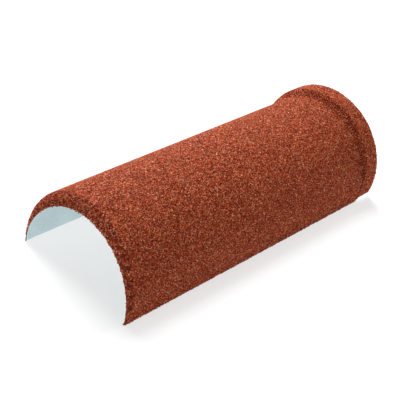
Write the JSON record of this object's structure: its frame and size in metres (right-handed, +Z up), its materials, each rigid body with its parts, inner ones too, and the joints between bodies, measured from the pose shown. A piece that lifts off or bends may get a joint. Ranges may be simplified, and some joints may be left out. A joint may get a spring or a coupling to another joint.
{
  "type": "half round ridge tile",
  "caption": "Half round ridge tile pressed from stone coated steel sheet, with a turned-down lip at the plain end and a raised lap collar at the other.",
  "frame": {"origin": "level of the two long edges that the tile rests on, at the middle of its length and width", "axes": "+X along the tile from the plain end to the collar, +Z up through the crown"},
  "size_m": [0.4099, 0.1654, 0.1072],
  "materials": {
    "stone_coat": "rough red-brown stone granules bonded to the outside of the sheet",
    "primed_steel": "matt pale blue-grey primer on the inside of the sheet",
    "cut_edge": "dull sheared edge of the sheet"
  },
  "bodies": {
    "root": {"ridge_tile": "stone_coat"}
  },
  "joints": []
}
